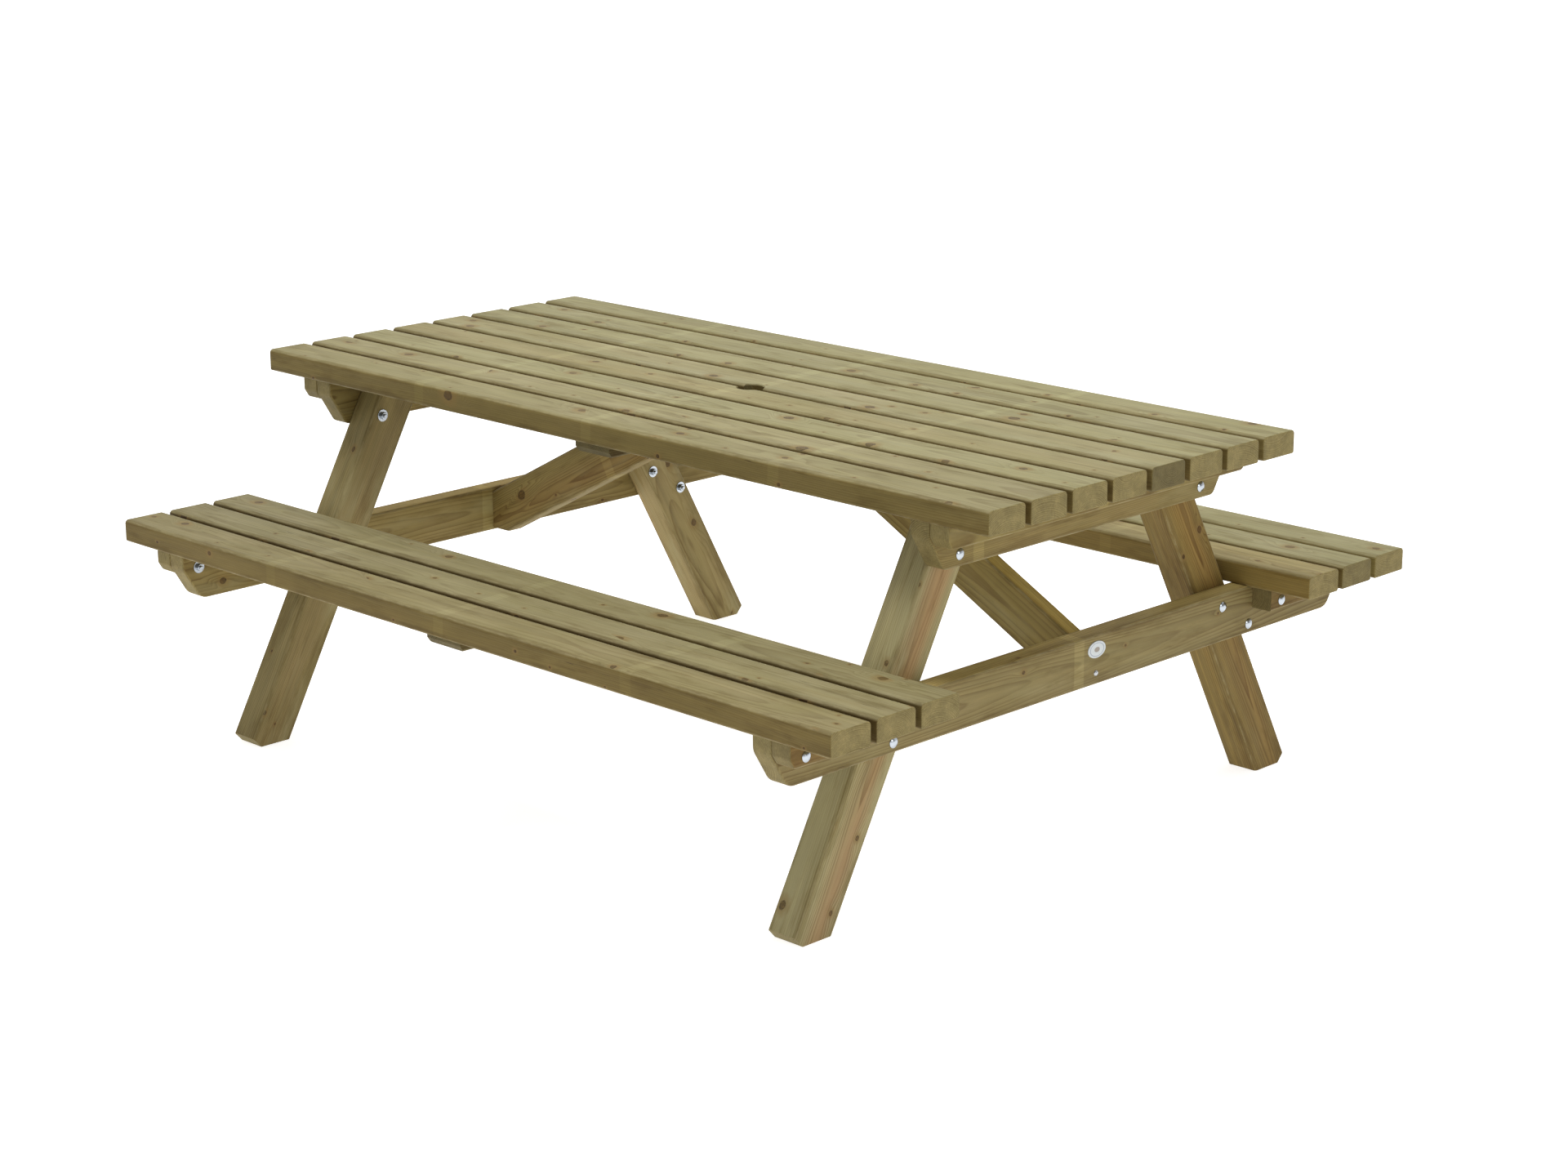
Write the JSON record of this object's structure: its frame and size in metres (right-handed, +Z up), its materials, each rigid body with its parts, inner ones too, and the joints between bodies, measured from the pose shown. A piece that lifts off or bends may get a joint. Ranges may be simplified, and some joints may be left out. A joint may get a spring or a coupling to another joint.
{
  "type": "picnic table with benches",
  "caption": "Slatted timber picnic table with two fixed benches on splayed A-frame legs, braced underneath, with a parasol hole in the middle of the top.",
  "frame": {"origin": "on the ground under the middle of the table top", "axes": "+X along the planks, +Y across them towards the back bench, +Z up"},
  "size_m": [2, 1.62, 0.758],
  "materials": {
    "plank_wood": "planed pressure-treated softwood, pale khaki, matt",
    "frame_wood": "planed pressure-treated softwood, olive tan, matt",
    "bolt_zinc": "bright zinc plate, smooth",
    "screw_zinc": "zinc plate, satin",
    "badge": "plain printed oval, satin"
  },
  "bodies": {
    "root": {"badge": "badge", "brace_flush_screws": "screw_zinc", "brace_left": "frame_wood", "brace_pan_screws": "screw_zinc", "brace_right": "frame_wood", "brace_tip_screws": "screw_zinc", "leg_left_back": "frame_wood", "leg_left_front": "frame_wood", "leg_nuts": "bolt_zinc", "leg_right_back": "frame_wood", "leg_right_front": "frame_wood", "leg_washers": "bolt_zinc", "middle_batten_back": "frame_wood", "middle_batten_front": "frame_wood", "middle_batten_top": "frame_wood", "seat_batten_bolts": "bolt_zinc", "seat_batten_left_back": "frame_wood", "seat_batten_left_front": "frame_wood", "seat_batten_nuts": "bolt_zinc", "seat_batten_right_back": "frame_wood", "seat_batten_right_front": "frame_wood", "seat_batten_washers": "bolt_zinc", "seat_beam_bolts": "bolt_zinc", "seat_beam_left": "frame_wood", "seat_beam_right": "frame_wood", "seat_end_screws": "screw_zinc", "seat_middle_screws": "screw_zinc", "seat_plank_back_1": "plank_wood", "seat_plank_back_2": "plank_wood", "seat_plank_back_3": "plank_wood", "seat_plank_front_1": "plank_wood", "seat_plank_front_2": "plank_wood", "seat_plank_front_3": "plank_wood", "top_batten_left": "frame_wood", "top_batten_right": "frame_wood", "top_batten_screws": "screw_zinc", "top_beam_bolts": "bolt_zinc", "top_beam_left": "frame_wood", "top_beam_right": "frame_wood", "top_end_screws": "screw_zinc", "top_middle_screws": "screw_zinc", "top_plank_1": "plank_wood", "top_plank_2": "plank_wood", "top_plank_3": "plank_wood", "top_plank_4": "plank_wood", "top_plank_5": "plank_wood", "top_plank_6": "plank_wood", "top_plank_7": "plank_wood", "top_plank_8": "plank_wood"}
  },
  "joints": []
}
